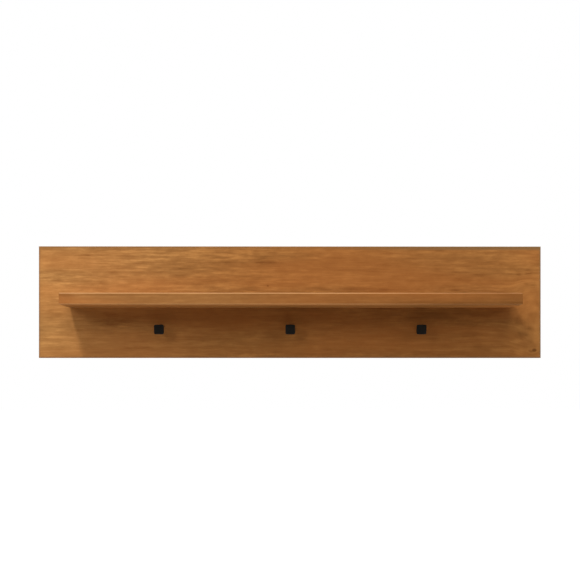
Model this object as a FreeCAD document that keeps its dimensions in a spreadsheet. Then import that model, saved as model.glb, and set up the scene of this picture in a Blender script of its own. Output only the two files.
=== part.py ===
import FreeCAD, Part
import os
import re
import Sketcher

# Wall shelf: a long wooden back panel that hangs on two keyhole plates, with a shelf board across its
# middle and three square knobs under the shelf.
# Frame: +X to the right, -Y out of the wall into the room, +Z up, millimetres.
# Origin: centre of the panel's back face, which lies against the wall.

# Driving sizes: alias, value, what it measures
SIZES = [
    ("panel_length", 900, "back panel, left to right"),
    ("panel_height", 200, "back panel, bottom to top"),
    ("panel_thickness", 20, "back panel, wall side to front"),
    ("panel_edge_radius", 1, "eased edges round the back panel's front"),
    ("shelf_length", 790, "shelf board, left to right"),
    ("shelf_depth", 100, "shelf board, from the panel's front outwards"),
    ("shelf_thickness", 20, "shelf board, underside to top"),
    ("shelf_edge_radius", 2, "rounded edges of the shelf board's top and underside"),
    ("dowel_diameter", 8, "wooden dowel"),
    ("dowel_length", 30, "wooden dowel"),
    ("dowel_panel_depth", 12, "how far a dowel reaches into the panel"),
    ("dowel_groove_depth", 0.4, "glue grooves along the dowel"),
    ("dowel_clearance", 0.1, "gap between a dowel and its hole, all round"),
    ("dowel_end_gap", 1, "glue room past each end of a dowel"),
    ("counterbore_diameter", 12, "pocket for a screw's head in the panel's back"),
    ("counterbore_depth", 5, "pocket for a screw's head in the panel's back"),
    ("shelf_screw_diameter", 5, "wood screw from the panel into the shelf"),
    ("shelf_screw_length", 45, "under the head to the end"),
    ("shelf_screw_head_diameter", 10, "flat round head"),
    ("shelf_screw_head_height", 2.5, "flat round head"),
    ("shelf_screw_inset", 50, "outer screws, in from the shelf's ends"),
    ("knob_spacing", 232, "from knob to knob"),
    ("knob_drop", 50, "knobs, below the panel's mid-height"),
    ("knob_projection", 32, "knob, from the panel's front outwards"),
    ("knob_head_side", 17, "square head"),
    ("knob_head_depth", 7, "square head, back to front"),
    ("knob_corner_radius", 2.5, "rounded corners of the head"),
    ("knob_face_bevel", 0.8, "bevel round the head's front"),
    ("knob_neck_diameter", 11, "round neck"),
    ("knob_screw_diameter", 4, "machine screw into the knob"),
    ("knob_screw_length", 25, "under the head to the end"),
    ("knob_screw_head_diameter", 8, "flat round head"),
    ("knob_screw_head_height", 2.6, "flat round head"),
    ("knob_thread_spare", 3, "threaded hole left past the screw's end"),
    ("hanger_spacing", 600, "from keyhole plate to keyhole plate"),
    ("hanger_height", 55, "plate centres, above the panel's mid-height"),
    ("plate_length", 50, "keyhole plate, bottom to top"),
    ("plate_width", 16, "keyhole plate, left to right"),
    ("plate_thickness", 2, "keyhole plate"),
    ("plate_sink", 1.5, "how far the plate lies below the panel's back"),
    ("plate_clearance", 0.2, "gap round the plate in its rabbet"),
    ("entry_diameter", 9.5, "round entry for a wall screw's head"),
    ("entry_drop", 6, "entry centre, below the plate's centre"),
    ("slot_width", 4.5, "slot for a wall screw's shank"),
    ("slot_rise", 9, "slot's end, above the plate's centre"),
    ("head_room_width", 11.5, "routed room for the wall screw's head"),
    ("head_room_depth", 8, "routed room behind the plate"),
    ("plate_screw_spacing", 39, "from plate screw to plate screw"),
    ("plate_screw_diameter", 3, "small wood screw"),
    ("plate_screw_length", 12, "under the head to the end"),
    ("plate_screw_head_diameter", 5.6, "flat round head"),
    ("plate_screw_head_height", 1.2, "flat round head"),
    ("thread_clearance", 0.1, "gap round a thread in what it bites into"),
    ("shank_clearance", 0.25, "gap round a screw that only passes through"),
    ("overrun", 2, "how far a through cut passes its solid"),
]
ALIASES = {alias for alias, _, _ in SIZES}

# Shares of a screw head's own size for its cross recess
CROSS_REACH_SHARE = 0.29
CROSS_HALF_WIDTH_SHARE = 0.075
CROSS_DEPTH_SHARE = 0.6

# Glue grooves round a dowel, and how much of the way from one to the next each takes
GROOVE_COUNT = 12
GROOVE_SHARE = 0.4

# Two places closer than this are the same place
SAME_PLACE = 0.001

# Places and depths worked out from the driving sizes
PANEL_FRONT = "panel_thickness"
SHELF_FRONT = "(panel_thickness + shelf_depth)"
OUTER_SCREW_X = "(shelf_length / 2 - shelf_screw_inset)"
DOWEL_X = f"({OUTER_SCREW_X} / 2)"
DOWEL_START = "(panel_thickness - dowel_panel_depth)"
DOWEL_HOLE = "(dowel_diameter + 2 * dowel_clearance)"
WOOD_UNDER_HEAD = "(panel_thickness - counterbore_depth)"
RABBET_DEPTH = "(plate_thickness + plate_sink)"

doc = FreeCAD.newDocument("wall_shelf")


def fill_sheet():
    """Write the driving sizes into the sheet, one row each, with their aliases."""
    sheet = doc.addObject("Spreadsheet::Sheet", "Sizes")
    for row, (alias, value, words) in enumerate(SIZES, start=1):
        sheet.set(f"A{row}", words)
        sheet.set(f"B{row}", str(value))
        sheet.setAlias(f"B{row}", alias)
    doc.recompute()
    return sheet


sheet = fill_sheet()


def sized(text):
    """An expression in plain aliases, such as panel_length / 2, as the document reads it."""
    return re.sub(r"[a-z]\w+", lambda word: f"Sizes.{word[0]}" if word[0] in ALIASES else word[0], text)


def value_of(text):
    """What an expression in plain aliases comes to now."""
    return float(sheet.evalExpression(sized(text)))


def bind(thing, prop, text):
    thing.setExpression(prop, sized(text))


# Sketches


def new_body(label):
    body = doc.addObject("PartDesign::Body", label)
    body.Label = label
    return body


def new_sketch(body, name, role, lift="0"):
    """A sketch on one of the body's own origin planes, lifted along that plane's normal."""
    sketch = body.newObject("Sketcher::SketchObject", f"{body.Name}_{name}")
    plane = next(item for item in body.Origin.OriginFeatures if item.Role == role)
    sketch.AttachmentSupport = [(plane, "")]
    sketch.MapMode = "FlatFace"
    if lift != "0":
        bind(sketch, "AttachmentOffset.Base.z", lift)
    return sketch


def drive(sketch, name, constraint, text):
    """Add a dimension and bind it to the sheet."""
    index = sketch.addConstraint(constraint)
    sketch.renameConstraint(index, name)
    bind(sketch, f"Constraints.{name}", text)


def pin(sketch, geometry, end, x, y):
    """Hold one point of a sketch at x, y, both expressions. Zero puts it on the sketch's own axis."""
    for kind, text, axis in (("DistanceX", x, -2), ("DistanceY", y, -1)):
        if text == "0":
            sketch.addConstraint(Sketcher.Constraint("PointOnObject", geometry, end, axis))
        else:
            constraint = Sketcher.Constraint(kind, -1, 1, geometry, end, value_of(text))
            drive(sketch, f"{kind}_{geometry}_{end}", constraint, text)


def circle(sketch, across, x="0", y="0"):
    centre = FreeCAD.Vector(value_of(x), value_of(y), 0)
    radius = value_of(across) / 2
    index = sketch.addGeometry(Part.Circle(centre, FreeCAD.Vector(0, 0, 1), radius))
    pin(sketch, index, 3, x, y)
    drive(sketch, f"across_{index}", Sketcher.Constraint("Diameter", index, 2 * radius), across)


def polygon(sketch, corners):
    """A closed outline of straight lines through corners, each a pair of expressions."""
    points = [FreeCAD.Vector(value_of(x), value_of(y), 0) for x, y in corners]
    first = sketch.GeometryCount
    for start, end in zip(points, points[1:] + points[:1]):
        sketch.addGeometry(Part.LineSegment(start, end))
    for step, (x, y) in enumerate(corners):
        before = first + (step - 1) % len(corners)
        sketch.addConstraint(Sketcher.Constraint("Coincident", before, 2, first + step, 1))
        pin(sketch, first + step, 1, x, y)


def rectangle(sketch, left, right, bottom, top):
    polygon(sketch, [(left, bottom), (right, bottom), (right, top), (left, top)])


def upright_slot(sketch, across, x, low, high):
    """A slot with round ends, whose end centres are at x and at the heights low and high."""
    x_now, low_now, high_now = value_of(x), value_of(low), value_of(high)
    radius = value_of(across) / 2
    ends = []
    for height, start, stop in ((high_now, 0, 180), (low_now, 180, 360)):
        round_end = Part.Circle(FreeCAD.Vector(x_now, height, 0), FreeCAD.Vector(0, 0, 1), radius)
        arc = Part.ArcOfCircle(round_end, value_in_radians(start), value_in_radians(stop))
        ends.append(sketch.addGeometry(arc))
    sides = []
    for side in (-radius, radius):
        bottom = FreeCAD.Vector(x_now + side, low_now, 0)
        top = FreeCAD.Vector(x_now + side, high_now, 0)
        sides.append(sketch.addGeometry(Part.LineSegment(bottom, top)))
    upper, lower = ends
    left, right = sides
    for line, line_end, arc, arc_end in (
        (right, 2, upper, 1),
        (left, 2, upper, 2),
        (left, 1, lower, 1),
        (right, 1, lower, 2),
    ):
        sketch.addConstraint(Sketcher.Constraint("Tangent", line, line_end, arc, arc_end))
    sketch.addConstraint(Sketcher.Constraint("Equal", upper, lower))
    pin(sketch, upper, 3, x, high)
    pin(sketch, lower, 3, x, low)
    drive(sketch, f"across_{upper}", Sketcher.Constraint("Diameter", upper, 2 * radius), across)


def value_in_radians(degrees):
    return FreeCAD.Units.Quantity(degrees, FreeCAD.Units.Angle).getValueAs("rad").Value


# Features


def pad(body, name, sketch, length):
    feature = body.newObject("PartDesign::Pad", f"{body.Name}_{name}")
    feature.Profile = sketch
    bind(feature, "Length", length)
    doc.recompute()
    return feature


def cut(body, name, sketch, depth, reverse=True):
    """A pocket. Reversed, it cuts along the sketch's normal, and otherwise against it."""
    before = body.Shape.Volume
    feature = body.newObject("PartDesign::Pocket", f"{body.Name}_{name}")
    feature.Profile = sketch
    feature.Reversed = reverse
    bind(feature, "Length", depth)
    doc.recompute()
    if not body.Shape.Volume < before:
        raise RuntimeError(f"{feature.Name} cuts nothing")


def dress(body, name, kind, prop, base, wanted, size):
    """A fillet or a chamfer on those edges of the base feature that pass the wanted test."""
    edges = [f"Edge{i}" for i, edge in enumerate(base.Shape.Edges, start=1) if wanted(edge)]
    feature = body.newObject(kind, f"{body.Name}_{name}")
    feature.Base = (base, edges)
    bind(feature, prop, size)
    doc.recompute()
    return feature


def fillet(body, name, base, wanted, radius):
    return dress(body, name, "PartDesign::Fillet", "Radius", base, wanted, radius)


def chamfer(body, name, base, wanted, size):
    return dress(body, name, "PartDesign::Chamfer", "Size", base, wanted, size)


def lies_at(edge, y):
    """Whether a whole edge lies in the plane at y, an expression."""
    place = value_of(y)
    box = edge.BoundBox
    return abs(box.YMin - place) < SAME_PLACE and abs(box.YMax - place) < SAME_PLACE


def place(body, x="0", y="0", z="0"):
    """Put a piece that was built about its own origin into the part's frame."""
    for axis, text in (("x", x), ("y", y), ("z", z)):
        bind(body, f"Placement.Base.{axis}", text)


# Back panel: one board, drilled and routed from behind, with blind dowel holes in its front


def build_back_panel():
    body = new_body("back_panel")
    outline = new_sketch(body, "outline", "XZ_Plane")
    rectangle(outline, "-panel_length / 2", "panel_length / 2", "-panel_height / 2", "panel_height / 2")
    slab = pad(body, "slab", outline, "panel_thickness")
    fillet(body, "eased_edges", slab, lambda edge: lies_at(edge, f"-{PANEL_FRONT}"), "panel_edge_radius")
    cut_hanger_pockets(body)
    cut_screw_holes(body)
    dowels = new_sketch(body, "dowels", "XZ_Plane", PANEL_FRONT)
    for x in (f"-{DOWEL_X}", DOWEL_X):
        circle(dowels, DOWEL_HOLE, x)
    cut(body, "dowel_holes", dowels, "dowel_panel_depth + dowel_end_gap", reverse=False)
    return body


def cut_hanger_pockets(body):
    """Shallow rabbets that the keyhole plates lie in, deeper room for the wall screws' heads, pilots."""
    rabbets = new_sketch(body, "rabbets", "XZ_Plane")
    room = new_sketch(body, "head_room", "XZ_Plane")
    pilots = new_sketch(body, "pilots", "XZ_Plane")
    end = "(plate_length - plate_width) / 2"
    for x in ("-hanger_spacing / 2", "hanger_spacing / 2"):
        low, high = f"hanger_height - {end}", f"hanger_height + {end}"
        upright_slot(rabbets, "plate_width + 2 * plate_clearance", x, low, high)
        low, high = "hanger_height - entry_drop", "hanger_height + slot_rise"
        upright_slot(room, "head_room_width", x, low, high)
        for height in ("hanger_height - plate_screw_spacing / 2", "hanger_height + plate_screw_spacing / 2"):
            circle(pilots, "plate_screw_diameter + 2 * thread_clearance", x, height)
    cut(body, "plate_rabbets", rabbets, RABBET_DEPTH)
    cut(body, "head_room_pockets", room, f"{RABBET_DEPTH} + head_room_depth")
    cut(body, "plate_screw_pilots", pilots, "plate_sink + plate_screw_length + thread_clearance")


def cut_screw_holes(body):
    """Holes for the knobs' and the shelf's screws, all counterbored from behind for their heads."""
    bores = new_sketch(body, "screw_bores", "XZ_Plane")
    heads = new_sketch(body, "head_pockets", "XZ_Plane")
    for size, z, places in (
        ("knob_screw", "-knob_drop", ("-knob_spacing", "0", "knob_spacing")),
        ("shelf_screw", "0", (f"-{OUTER_SCREW_X}", "0", OUTER_SCREW_X)),
    ):
        for x in places:
            circle(bores, f"{size}_diameter + 2 * shank_clearance", x, z)
            circle(heads, "counterbore_diameter", x, z)
    cut(body, "screw_holes", bores, "panel_thickness + overrun")
    cut(body, "counterbores", heads, "counterbore_depth")


# Shelf board: butts against the panel's front. The other edges of its top and underside are rounded


def build_shelf_board():
    body = new_body("shelf_board")
    outline = new_sketch(body, "outline", "XY_Plane", "-shelf_thickness / 2")
    rectangle(outline, "-shelf_length / 2", "shelf_length / 2", f"-{SHELF_FRONT}", f"-{PANEL_FRONT}")
    board = pad(body, "board", outline, "shelf_thickness")
    routed = lambda edge: edge.BoundBox.ZLength < SAME_PLACE and not lies_at(edge, f"-{PANEL_FRONT}")
    fillet(body, "rounded_edges", board, routed, "shelf_edge_radius")
    dowels = new_sketch(body, "dowels", "XZ_Plane", PANEL_FRONT)
    for x in (f"-{DOWEL_X}", DOWEL_X):
        circle(dowels, DOWEL_HOLE, x)
    cut(body, "dowel_holes", dowels, "dowel_length - dowel_panel_depth + dowel_end_gap")
    pilots = new_sketch(body, "pilots", "XZ_Plane", PANEL_FRONT)
    for x in (f"-{OUTER_SCREW_X}", "0", OUTER_SCREW_X):
        circle(pilots, "shelf_screw_diameter + 2 * thread_clearance", x)
    cut(body, "screw_pilots", pilots, f"shelf_screw_length - {WOOD_UNDER_HEAD} + thread_clearance")
    return body


# Knob: a cast square head on a round neck, tapped from behind. Its own origin is the centre of the
# neck's back, which seats on the panel


def build_knob(label, x):
    body = new_body(label)
    head = new_sketch(body, "head_outline", "XZ_Plane", "knob_projection - knob_head_depth")
    half = "knob_head_side / 2"
    rectangle(head, f"-{half}", half, f"-{half}", half)
    block = pad(body, "head", head, "knob_head_depth")
    upright = lambda edge: edge.BoundBox.YLength > SAME_PLACE
    corners = fillet(body, "head_corners", block, upright, "knob_corner_radius")
    front = lambda edge: lies_at(edge, "-knob_projection")
    chamfer(body, "face_bevel", corners, front, "knob_face_bevel")
    neck = new_sketch(body, "neck_outline", "XZ_Plane")
    circle(neck, "knob_neck_diameter")
    pad(body, "neck", neck, "knob_projection - knob_head_depth")
    thread = new_sketch(body, "thread_outline", "XZ_Plane")
    circle(thread, "knob_screw_diameter + 2 * thread_clearance")
    cut(body, "threaded_hole", thread, f"knob_screw_length - {WOOD_UNDER_HEAD} + knob_thread_spare")
    place(body, x, f"-{PANEL_FRONT}", "-knob_drop")
    return body


# Screws: flat round heads with a cross recess, turned about their own axis, which runs along -Y from
# the head to the end. A screw's own origin is the centre of its head's seat


def build_screw(label, size, x, y, z):
    body = new_body(label)
    profile = new_sketch(body, "profile", "XY_Plane")
    head, shank = f"{size}_head_diameter / 2", f"{size}_diameter / 2"
    top, end = f"{size}_head_height", f"-{size}_length"
    polygon(profile, [("0", top), (head, top), (head, "0"), (shank, "0"), (shank, end), ("0", end)])
    turned = body.newObject("PartDesign::Revolution", f"{label}_turned")
    turned.Profile = profile
    turned.ReferenceAxis = (profile, ["V_Axis"])
    turned.Angle = 360
    doc.recompute()
    cross = new_sketch(body, "cross", "XZ_Plane", f"-{top}")
    far = f"{CROSS_REACH_SHARE} * {size}_head_diameter"
    near = f"{CROSS_HALF_WIDTH_SHARE} * {size}_head_diameter"
    quarter = [(far, f"-{near}"), (far, near), (near, near)]
    polygon(cross, [turned_quarters(x, y, turn) for turn in range(4) for x, y in quarter])
    cut(body, "cross_recess", cross, f"{CROSS_DEPTH_SHARE} * {top}")
    place(body, x, y, z)
    return body


def turned_quarters(x, y, turns):
    """The point x, y, a pair of expressions, turned by so many right angles about the origin."""
    for _ in range(turns):
        x, y = f"-({y})", x
    return x, y


# Dowel: grooved for glue. Its own origin is the centre of its rear end


def build_dowel(label, x):
    body = new_body(label)
    section = new_sketch(body, "section", "XZ_Plane")
    lip, bottom = "dowel_diameter / 2", "(dowel_diameter / 2 - dowel_groove_depth)"
    pitch = 360 / GROOVE_COUNT
    half_groove = pitch * GROOVE_SHARE / 2
    corners = []
    for groove in range(GROOVE_COUNT):
        middle = groove * pitch
        for radius, angle in ((lip, middle - half_groove), (bottom, middle), (lip, middle + half_groove)):
            corners.append((f"{radius} * cos({angle})", f"{radius} * sin({angle})"))
    polygon(section, corners)
    pad(body, "rod", section, "dowel_length")
    place(body, x, f"-{DOWEL_START}")
    return body


# Keyhole plate: flat steel with round ends, let in behind. Its own origin is the centre of the face
# towards the wall


def build_keyhole_plate(label, x):
    body = new_body(label)
    outline = new_sketch(body, "outline", "XZ_Plane")
    end = "(plate_length - plate_width) / 2"
    upright_slot(outline, "plate_width", "0", f"-{end}", end)
    pad(body, "blank", outline, "plate_thickness")
    round_holes = new_sketch(body, "round_holes", "XZ_Plane")
    circle(round_holes, "entry_diameter", "0", "-entry_drop")
    for height in ("-plate_screw_spacing / 2", "plate_screw_spacing / 2"):
        circle(round_holes, "plate_screw_diameter + 2 * shank_clearance", "0", height)
    cut(body, "entry_and_screw_holes", round_holes, "plate_thickness + overrun")
    slot = new_sketch(body, "slot_outline", "XZ_Plane")
    upright_slot(slot, "slot_width", "0", "-entry_drop", "slot_rise")
    cut(body, "slot", slot, "plate_thickness + overrun")
    place(body, x, "-plate_sink", "hanger_height")
    return body


def build_all():
    pieces = [build_back_panel(), build_shelf_board()]
    for side, x in (("left", "-knob_spacing"), ("centre", "0"), ("right", "knob_spacing")):
        pieces.append(build_knob(f"{side}_knob", x))
        pieces.append(build_screw(f"{side}_knob_screw", "knob_screw", x, "-counterbore_depth", "-knob_drop"))
    for side, x in (("left", f"-{OUTER_SCREW_X}"), ("centre", "0"), ("right", OUTER_SCREW_X)):
        pieces.append(build_screw(f"{side}_shelf_screw", "shelf_screw", x, "-counterbore_depth", "0"))
    for side, x in (("left", f"-{DOWEL_X}"), ("right", DOWEL_X)):
        pieces.append(build_dowel(f"{side}_dowel", x))
    for side, x in (("left", "-hanger_spacing / 2"), ("right", "hanger_spacing / 2")):
        pieces.append(build_keyhole_plate(f"{side}_keyhole_plate", x))
        for level, sign in (("upper", "+"), ("lower", "-")):
            z = f"hanger_height {sign} plate_screw_spacing / 2"
            pieces.append(build_screw(f"{side}_{level}_plate_screw", "plate_screw", x, "-plate_sink", z))
    return pieces


def check(pieces):
    """Stop if anything in the document failed, or a sketch is loose, or a piece isn't one sound solid."""
    for item in doc.Objects:
        if {"Invalid", "Error"} & set(item.State):
            raise RuntimeError(f"{item.Name} failed: {item.State}")
        if item.TypeId == "Sketcher::SketchObject" and not item.FullyConstrained:
            raise RuntimeError(f"{item.Name} isn't fully constrained")
    for piece in pieces:
        shape = piece.Shape
        if shape.isNull() or not shape.isValid() or len(shape.Solids) != 1:
            raise RuntimeError(f"{piece.Label} isn't one valid solid")


pieces = build_all()
doc.recompute()
check(pieces)
os.makedirs("parts", exist_ok=True)
for piece in pieces:
    piece.Shape.exportStep(f"parts/{piece.Label}.step")
    print(piece.Label, round(piece.Shape.Volume), piece.Shape.BoundBox)
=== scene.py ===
import bmesh
import bpy
import math
from mathutils import Matrix, Vector


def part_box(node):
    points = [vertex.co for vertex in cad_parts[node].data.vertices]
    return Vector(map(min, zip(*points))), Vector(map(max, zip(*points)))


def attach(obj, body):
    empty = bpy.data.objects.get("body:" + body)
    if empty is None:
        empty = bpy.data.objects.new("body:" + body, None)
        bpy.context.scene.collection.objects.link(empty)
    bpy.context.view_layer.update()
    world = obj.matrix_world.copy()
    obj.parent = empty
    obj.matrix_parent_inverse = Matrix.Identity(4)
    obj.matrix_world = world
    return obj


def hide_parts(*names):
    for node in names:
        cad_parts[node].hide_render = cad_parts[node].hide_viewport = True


# A wooden wall shelf: a long back panel with a shelf board across its middle and three black knobs
# under it, hung on two keyhole plates. +X to the right, -Y out into the room, +Z up, in metres.
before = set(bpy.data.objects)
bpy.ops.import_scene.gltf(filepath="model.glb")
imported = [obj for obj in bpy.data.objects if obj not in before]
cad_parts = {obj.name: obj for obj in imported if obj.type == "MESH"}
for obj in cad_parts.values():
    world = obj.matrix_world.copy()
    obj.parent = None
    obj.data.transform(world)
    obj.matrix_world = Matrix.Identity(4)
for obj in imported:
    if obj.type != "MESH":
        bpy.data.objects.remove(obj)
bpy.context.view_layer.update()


# Back panel: one wide board of a pale hardwood, planed, routed and drilled from behind, its front
# edges eased, then stained a warm brown and oiled. The stain is thinner on the back, and the routed
# pockets and the bores show the bare wood.
MM = 0.001
WHITE = (1.0, 1.0, 1.0, 1.0)


def feed(tree, sockets, feeds):
    """Give each socket, by name or number, a plain value or the output of another node."""
    for socket, value in feeds.items():
        if isinstance(value, bpy.types.NodeSocket):
            tree.links.new(value, sockets[socket])
        else:
            sockets[socket].default_value = value


def add(tree, kind, feeds=None, **settings):
    """One node with its settings, its inputs fed."""
    made = tree.nodes.new(kind)
    for name, value in settings.items():
        setattr(made, name, value)
    feed(tree, made.inputs, feeds or {})
    return made


def maths(tree, operation, *values):
    """The result of one operation on numbers."""
    return add(tree, "ShaderNodeMath", dict(enumerate(values)), operation=operation).outputs[0]


def vectors(tree, operation, *values):
    """The result of one operation on points or colours."""
    feeds = dict(enumerate(values))
    return add(tree, "ShaderNodeVectorMath", feeds, operation=operation).outputs[0]


def length_of(tree, vector):
    """How long a vector is."""
    return add(tree, "ShaderNodeVectorMath", {0: vector}, operation="LENGTH").outputs["Value"]


def ramp(tree, value, low, high, start=0.0, end=1.0):
    """Start where value is at low or past it, end where it is at high, and smooth in between."""
    feeds = {"Value": value, "From Min": low, "From Max": high, "To Min": start, "To Max": end}
    return add(tree, "ShaderNodeMapRange", feeds, interpolation_type="SMOOTHSTEP").outputs[0]


def blend(tree, share, first, second):
    """The first colour, and as share goes to 1 the second."""
    feeds = {"Factor": share, 6: first, 7: second}
    return add(tree, "ShaderNodeMix", feeds, data_type="RGBA").outputs[2]


def mottle(tree, point, per_metre, seed, detail=2.0):
    """Noise about 0.5, with so many patches to the metre along X, Y and Z."""
    stretched = vectors(tree, "MULTIPLY", point, per_metre)
    feeds = {"Vector": stretched, "W": seed, "Scale": 1.0, "Detail": detail, "Roughness": 0.55}
    return add(tree, "ShaderNodeTexNoise", feeds, noise_dimensions="4D").outputs[0]


def waver(tree, point, per_metre, seed, detail=2.0):
    """The same noise, about 0."""
    return maths(tree, "SUBTRACT", mottle(tree, point, per_metre, seed, detail), 0.5)


def relief(tree, height, strength, depth):
    """The surface's direction, tilted by a pattern of bumps this deep in metres."""
    feeds = {"Height": height, "Strength": strength, "Distance": depth}
    return add(tree, "ShaderNodeBump", feeds).outputs[0]


def effect(name, inputs, outputs):
    """A shader group with named inputs, each with its usual value, and named outputs."""
    tree = bpy.data.node_groups.new(name, "ShaderNodeTree")
    for label, usual in inputs.items():
        kind = "NodeSocketVector" if isinstance(usual, tuple) else "NodeSocketFloat"
        tree.interface.new_socket(label, in_out="INPUT", socket_type=kind).default_value = usual
    for label in outputs:
        tree.interface.new_socket(label, in_out="OUTPUT", socket_type="NodeSocketFloat")
    return tree, add(tree, "NodeGroupInput").outputs, add(tree, "NodeGroupOutput").inputs


def new_material(name):
    """A new material, its tree, its plain shader, and the point of the surface in metres."""
    material = bpy.data.materials.new(name)
    material.use_nodes = True
    tree = material.node_tree
    point = add(tree, "ShaderNodeTexCoord").outputs["Object"]
    return material, tree, tree.nodes["Principled BSDF"], point


def build_timber_grain():
    """Growth rings about a pith that runs along X through the point 0, with fibres and pores."""
    inputs = {
        "Point": (0.0, 0.0, 0.0),
        "Ring Width": 0.007,
        "Wander": 0.03,
        "Contrast": 1.0,
        "Lightness": 0.5,
        "Seed": 0.0,
    }
    outputs = ("Tone", "Redness", "Rings", "Pores", "Height")
    tree, taken, given = effect("Timber grain", inputs, outputs)
    point, seed = taken["Point"], taken["Seed"]
    far = length_of(tree, vectors(tree, "MULTIPLY", point, (0.0, 1.0, 1.0)))
    slow = waver(tree, point, (1.3, 6.0, 6.0), seed, 1.0)
    quick = waver(tree, point, (11.0, 45.0, 45.0), seed)
    drift = maths(tree, "MULTIPLY", taken["Wander"], maths(tree, "MULTIPLY_ADD", quick, 0.14, slow))
    ring = maths(tree, "DIVIDE", maths(tree, "ADD", far, drift), taken["Ring Width"])
    year = maths(tree, "FLOOR", ring)
    season = maths(tree, "SUBTRACT", ring, year)
    # A ring darkens slowly and ends sharply, in some years and places more than in others.
    vigour = add(tree, "ShaderNodeTexWhiteNoise", {"W": year}, noise_dimensions="1D").outputs[0]
    rings = maths(tree, "MULTIPLY", ramp(tree, season, 0.25, 0.86), ramp(tree, season, 1.0, 0.88))
    rings = maths(tree, "MULTIPLY", rings, maths(tree, "MULTIPLY_ADD", vigour, 0.7, 0.3))
    fading = ramp(tree, mottle(tree, point, (5.0, 30.0, 30.0), seed), 0.38, 0.62)
    late = maths(tree, "MULTIPLY", rings, fading)
    # Patches, streaks and fibres make the figure, and its dark side is the weaker.
    streaks = mottle(tree, point, (26.0, 260.0, 260.0), seed, 4.0)
    fibres = mottle(tree, point, (45.0, 1300.0, 1300.0), seed)
    change = maths(tree, "MULTIPLY", late, -0.2)
    for patches, weight in (
        (mottle(tree, point, (3.5, 50.0, 50.0), seed), 0.55),
        (mottle(tree, point, (13.0, 24.0, 24.0), seed), 0.35),
        (mottle(tree, point, (60.0, 140.0, 140.0), seed), 0.55),
        (streaks, 1.1),
        (fibres, 0.5),
    ):
        change = maths(tree, "MULTIPLY_ADD", maths(tree, "SUBTRACT", patches, 0.5), weight, change)
    softened = maths(tree, "MAXIMUM", change, maths(tree, "MULTIPLY", change, 0.6))
    # Pores are short dark dashes, found in the darker streaks.
    dashes = mottle(tree, point, (170.0, 2600.0, 2600.0), seed, 1.0)
    pores = maths(tree, "MULTIPLY", ramp(tree, dashes, 0.64, 0.72), ramp(tree, streaks, 0.62, 0.42))
    height = maths(tree, "MULTIPLY_ADD", late, 0.35, maths(tree, "MULTIPLY", fibres, 0.5))
    feed(tree, given, {
        "Tone": maths(tree, "MULTIPLY_ADD", softened, taken["Contrast"], taken["Lightness"]),
        "Redness": ramp(tree, mottle(tree, point, (3.0, 22.0, 22.0), seed, 1.0), 0.35, 0.68),
        "Rings": rings,
        "Pores": pores,
        "Height": maths(tree, "MULTIPLY_ADD", pores, -1.0, height),
    })
    return tree


def build_board_faces():
    """Where a point is on a board: how far from its edges, on the underside, on an end or on the
    back, or laid open by a cutter."""
    inputs = {"Point": (0.0, 0.0, 0.0), "Middle": (0.0, 0.0, 0.0), "Half Size": (1.0, 1.0, 1.0)}
    outputs = ("To Edge", "To Long Edge", "From Top", "Underside", "End", "Back Face", "Cut Open")
    tree, taken, given = effect("Board faces", inputs, outputs)
    offset = vectors(tree, "SUBTRACT", taken["Point"], taken["Middle"])
    depths = vectors(tree, "SUBTRACT", taken["Half Size"], vectors(tree, "ABSOLUTE", offset))
    beyond = vectors(tree, "SUBTRACT", taken["Half Size"], offset)
    x, y, z = add(tree, "ShaderNodeSeparateXYZ", {0: depths}).outputs
    to_back, from_top = add(tree, "ShaderNodeSeparateXYZ", {0: beyond}).outputs[1:]
    inward = vectors(tree, "ADD", taken["Half Size"], offset)
    from_below = add(tree, "ShaderNodeSeparateXYZ", {0: inward}).outputs[2]
    least, most = maths(tree, "MINIMUM", x, y), maths(tree, "MAXIMUM", x, y)
    feed(tree, given, {
        "To Edge": maths(tree, "MAXIMUM", least, maths(tree, "MINIMUM", most, z)),
        "To Long Edge": maths(tree, "MAXIMUM", y, z),
        "From Top": from_top,
        "Underside": ramp(tree, from_below, 0.0012, 0.0005),
        "End": ramp(tree, x, 0.0008, 0.0003),
        "Back Face": ramp(tree, to_back, 0.0008, 0.0002),
        "Cut Open": ramp(tree, maths(tree, "MINIMUM", least, z), 0.0007, 0.0011),
    })
    return tree


def build_grain_mark():
    """A pale or dark patch in the figure of the wood, frayed along its edge."""
    inputs = {
        "Point": (0.0, 0.0, 0.0),
        "Place": (0.0, 0.0, 0.0),
        "Reach": (1.0, 1.0, 1.0),
        "Fray": 0.0,
        "Strength": 0.0,
    }
    tree, taken, given = effect("Grain mark", inputs, ("Change",))
    offset = vectors(tree, "SUBTRACT", taken["Point"], taken["Place"])
    away = length_of(tree, vectors(tree, "DIVIDE", offset, taken["Reach"]))
    here = ramp(tree, maths(tree, "ADD", away, taken["Fray"]), 1.15, 0.25)
    feed(tree, given, {"Change": maths(tree, "MULTIPLY", here, taken["Strength"])})
    return tree


TIMBER_GRAIN = build_timber_grain()
BOARD_FACES = build_board_faces()
GRAIN_MARK = build_grain_mark()

STAIN_DARK = (0.130, 0.045, 0.0095, 1.0)
STAIN_LIGHT = (0.440, 0.195, 0.053, 1.0)
STAIN_RED = (0.340, 0.115, 0.026, 1.0)
# The shelf's edge colour: wear, and a painted highlight on its rounded edges.
WEAR_AND_HIGHLIGHT = (0.640, 0.350, 0.150, 1.0)
STAIN_GATHERED = (0.205, 0.110, 0.042, 1.0)
BARE_WOOD = (0.560, 0.370, 0.190, 1.0)

# Going up a board, where its grain stops being calm and where it has its full contrast. Going along
# it, where the left strength of its edges ends and where the right strength is reached.
CALM_UP_TO, FULL_FROM = -0.035, 0.020
LEFT_UP_TO, RIGHT_FROM = 0.05, 0.35
TOP_STAIN_DEPTH = 0.008
MARK_DEPTH = 0.020
PARTING_REACH = 1.6
SWIRL_REACH = 1.5


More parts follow.
